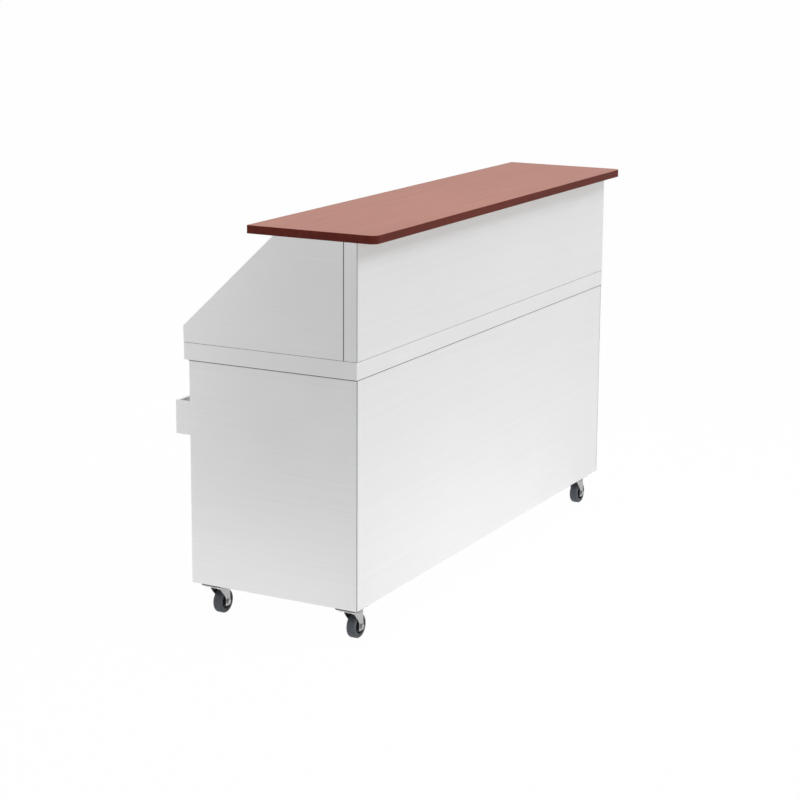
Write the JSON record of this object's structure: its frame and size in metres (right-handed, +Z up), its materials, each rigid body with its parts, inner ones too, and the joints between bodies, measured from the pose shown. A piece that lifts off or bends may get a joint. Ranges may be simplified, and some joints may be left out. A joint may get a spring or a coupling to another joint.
{
  "type": "mobile bar unit",
  "caption": "Wheeled sheet-metal bar with a raised laminated bar top on slanted wings, worktop with covered ice bin, shelves and rear speed rail.",
  "frame": {"origin": "on the floor, midway along the length and midway between the bar top's front edge and the speed rail's front", "axes": "+Z up, X along the bar, -Y towards the customers, +Y towards the bartender"},
  "size_m": [1.83, 0.714, 1.2472],
  "materials": {
    "steel": "satin stainless sheet, grain along the panel",
    "inner_steel": "satin stainless sheet",
    "galvanised": "galvanised steel with a fine spangle",
    "bin_steel": "drawn stainless, finely polished",
    "spacer": "black moulded plastic",
    "board": "particle board, sanded",
    "laminate": "red-brown mahogany laminate, satin",
    "edge_band": "red-brown edge band, satin",
    "foam": "pale rigid foam",
    "runner": "extruded, satin anodised",
    "drain_steel": "plated, polished",
    "screws": "bright zinc plate",
    "zinc": "bright zinc plate, pressed",
    "core": "moulded, dark grey",
    "tread": "dark grey solid rubber"
  },
  "bodies": {
    "cabinet": {"lower_front_panel": "steel", "lower_end_panel_left": "steel", "lower_end_panel_right": "steel", "worktop": "steel", "die_front_panel": "steel", "die_back_panel": "steel", "die_end_panel_left": "steel", "die_end_panel_right": "steel", "speed_rail_back": "steel", "speed_rail_trough": "steel", "speed_rail_end_left": "steel", "speed_rail_end_right": "steel", "base_deck": "inner_steel", "mid_shelf": "inner_steel", "rear_post_left": "inner_steel", "rear_post_right": "inner_steel", "middle_posts": "inner_steel", "ice_bin_jacket": "inner_steel", "base_channels": "galvanised", "shelf_angle_left": "galvanised", "shelf_angle_right": "galvanised", "bar_top_angle": "galvanised", "bar_top_channel": "galvanised", "ice_bin_liner": "bin_steel", "caster_spacers": "spacer", "bar_top_core": "board", "bar_top_laminate": "laminate", "bar_top_edge_band": "edge_band", "ice_bin_insulation": "foam", "cover_runners": "runner", "drain_strainer": "drain_steel", "drain_tailpiece": "drain_steel", "valve_body": "drain_steel", "bar_top_screws": "screws", "rail_screws": "screws", "caster_bolts": "screws", "caster_plate_front_left": "zinc", "caster_plate_front_right": "zinc", "caster_plate_rear_left": "zinc", "caster_plate_rear_right": "zinc"},
    "fork_front_left": {"caster_fork_front_left": "zinc", "caster_axle_front_left": "zinc"},
    "wheel_front_left": {"wheel_core_front_left": "core", "wheel_tread_front_left": "tread"},
    "fork_front_right": {"caster_fork_front_right": "zinc", "caster_axle_front_right": "zinc"},
    "wheel_front_right": {"wheel_core_front_right": "core", "wheel_tread_front_right": "tread"},
    "fork_rear_left": {"caster_fork_rear_left": "zinc", "caster_axle_rear_left": "zinc"},
    "wheel_rear_left": {"wheel_core_rear_left": "core", "wheel_tread_rear_left": "tread"},
    "fork_rear_right": {"caster_fork_rear_right": "zinc", "caster_axle_rear_right": "zinc"},
    "wheel_rear_right": {"wheel_core_rear_right": "core", "wheel_tread_rear_right": "tread"},
    "cover_left": {"bin_cover_left": "bin_steel"},
    "cover_right": {"bin_cover_right": "bin_steel"},
    "drain_handle": {"valve_lever": "drain_steel", "valve_ball": "drain_steel"}
  },
  "joints": [
    {"name": "swivel_front_left", "type": "hinge", "parent": "cabinet", "child": "fork_front_left", "pos_m": [-0.84, -0.243, 0.09], "axis": [0, 0, 1], "continuous": true},
    {"name": "roll_front_left", "type": "hinge", "parent": "fork_front_left", "child": "wheel_front_left", "pos_m": [-0.823, -0.243, 0.038], "axis": [0, 1, 0], "continuous": true},
    {"name": "swivel_front_right", "type": "hinge", "parent": "cabinet", "child": "fork_front_right", "pos_m": [0.84, -0.243, 0.09], "axis": [0, 0, 1], "continuous": true},
    {"name": "roll_front_right", "type": "hinge", "parent": "fork_front_right", "child": "wheel_front_right", "pos_m": [0.857, -0.243, 0.038], "axis": [0, 1, 0], "continuous": true},
    {"name": "swivel_rear_left", "type": "hinge", "parent": "cabinet", "child": "fork_rear_left", "pos_m": [-0.84, 0.234, 0.09], "axis": [0, 0, 1], "continuous": true},
    {"name": "roll_rear_left", "type": "hinge", "parent": "fork_rear_left", "child": "wheel_rear_left", "pos_m": [-0.823, 0.234, 0.038], "axis": [0, 1, 0], "continuous": true},
    {"name": "swivel_rear_right", "type": "hinge", "parent": "cabinet", "child": "fork_rear_right", "pos_m": [0.84, 0.234, 0.09], "axis": [0, 0, 1], "continuous": true},
    {"name": "roll_rear_right", "type": "hinge", "parent": "fork_rear_right", "child": "wheel_rear_right", "pos_m": [0.857, 0.234, 0.038], "axis": [0, 1, 0], "continuous": true},
    {"name": "slide_cover_left", "type": "slide", "parent": "cabinet", "child": "cover_left", "axis": [1, 0, 0], "range_m": [0, 0.25]},
    {"name": "slide_cover_right", "type": "slide", "parent": "cabinet", "child": "cover_right", "axis": [-1, 0, 0], "range_m": [0, 0.25]},
    {"name": "drain_turn", "type": "hinge", "parent": "cabinet", "child": "drain_handle", "pos_m": [0, 0.0331, 0.5565], "axis": [0, 1, 0], "range_deg": [0, 90]}
  ]
}
